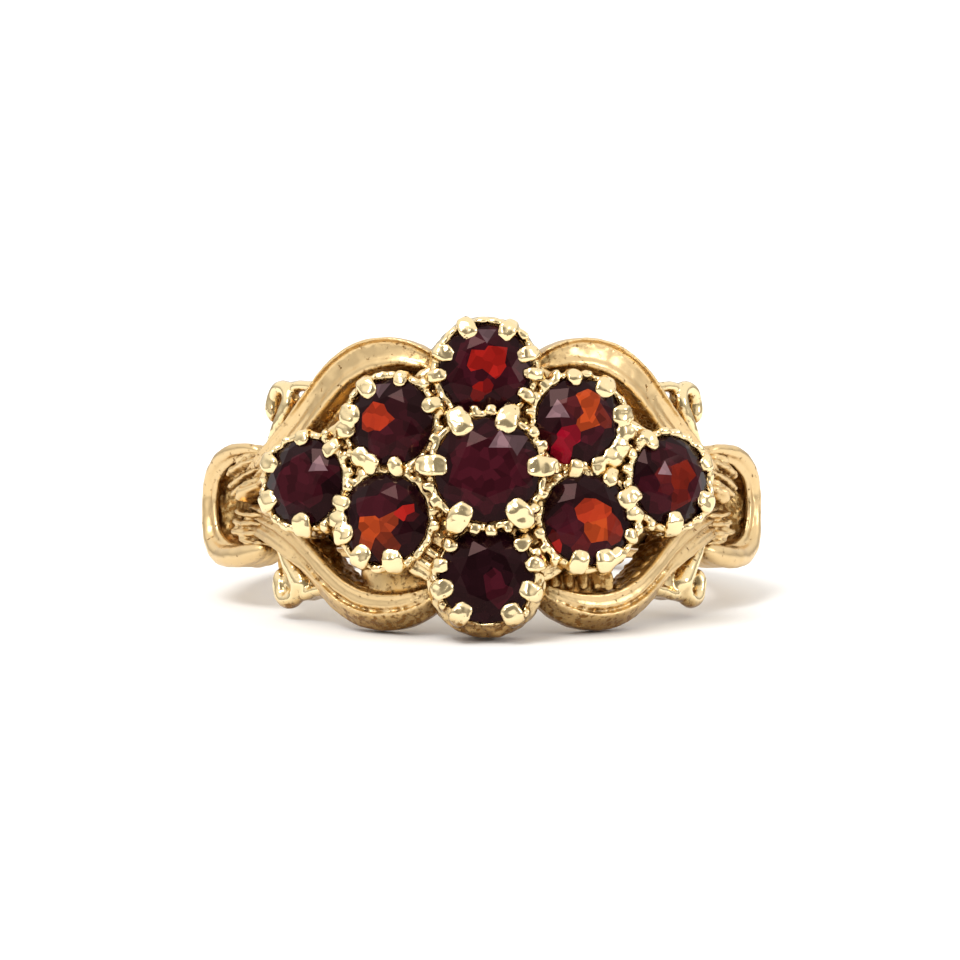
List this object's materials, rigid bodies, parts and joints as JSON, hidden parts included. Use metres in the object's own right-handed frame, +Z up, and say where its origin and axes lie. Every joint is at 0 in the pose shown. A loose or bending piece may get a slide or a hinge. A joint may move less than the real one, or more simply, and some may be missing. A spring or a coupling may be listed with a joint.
{
  "type": "garnet cluster ring",
  "caption": "Gold finger ring with a raised cluster of round garnets in claw collets, pierced arches and small scrolls at its shoulders, lying on its side.",
  "frame": {"origin": "bottom centre of the ring's box, on the surface that it lies on", "axes": "+Z up, +X to the right as seen from the front, +Y from the head towards the back of the shank"},
  "size_m": [0.0214, 0.0232, 0.0118],
  "materials": {
    "gold": "polished yellow gold, darker in its recesses",
    "garnet": "faceted and polished, deep red"
  },
  "bodies": {
    "root": {"gold_mount": "gold", "garnet_centre": "garnet", "garnet_top": "garnet", "garnet_bottom": "garnet", "garnet_left": "garnet", "garnet_right": "garnet", "garnet_upper_left": "garnet", "garnet_lower_left": "garnet", "garnet_upper_right": "garnet", "garnet_lower_right": "garnet"}
  },
  "joints": []
}
